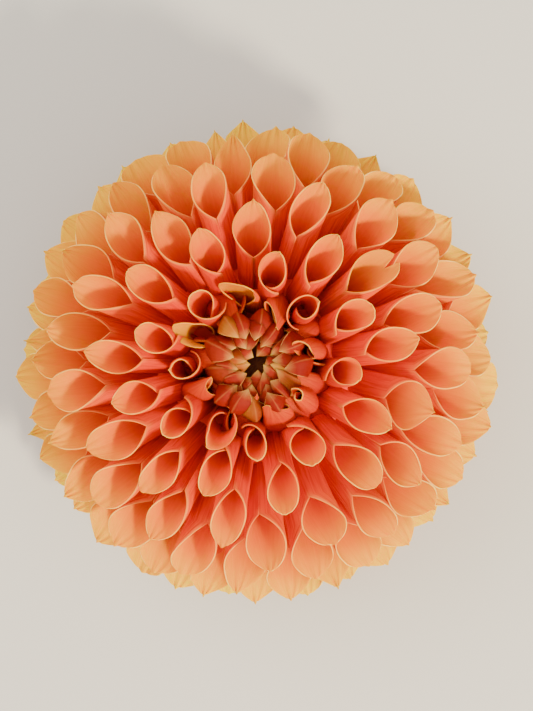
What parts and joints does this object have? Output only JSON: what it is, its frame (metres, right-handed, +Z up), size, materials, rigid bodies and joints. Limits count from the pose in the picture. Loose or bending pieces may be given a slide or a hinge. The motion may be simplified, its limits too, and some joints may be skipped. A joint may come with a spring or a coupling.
{
  "type": "dahlia flower",
  "caption": "Round ball dahlia bloom of rolled, cup-mouthed petals round a closed heart, with papery and green bracts and a cut stem underneath, lying face up.",
  "frame": {"origin": "on the surface the bloom lies on, below the middle of its outline", "axes": "+Z up along the stem's axis, through the heart of the bloom; +X to the right and +Y to the top of the bloom as it is seen from above"},
  "size_m": [0.0952, 0.0945, 0.0563],
  "materials": {
    "ray_petal": "matt, soft and slightly see-through petal",
    "heart_petal": "matt young petal",
    "papery_bract": "dry, papery",
    "green_tissue": "satin leaf"
  },
  "bodies": {
    "root": {"ray_florets": "ray_petal", "heart_florets": "heart_petal", "inner_bracts": "papery_bract", "stem_and_outer_bracts": "green_tissue"}
  },
  "joints": []
}
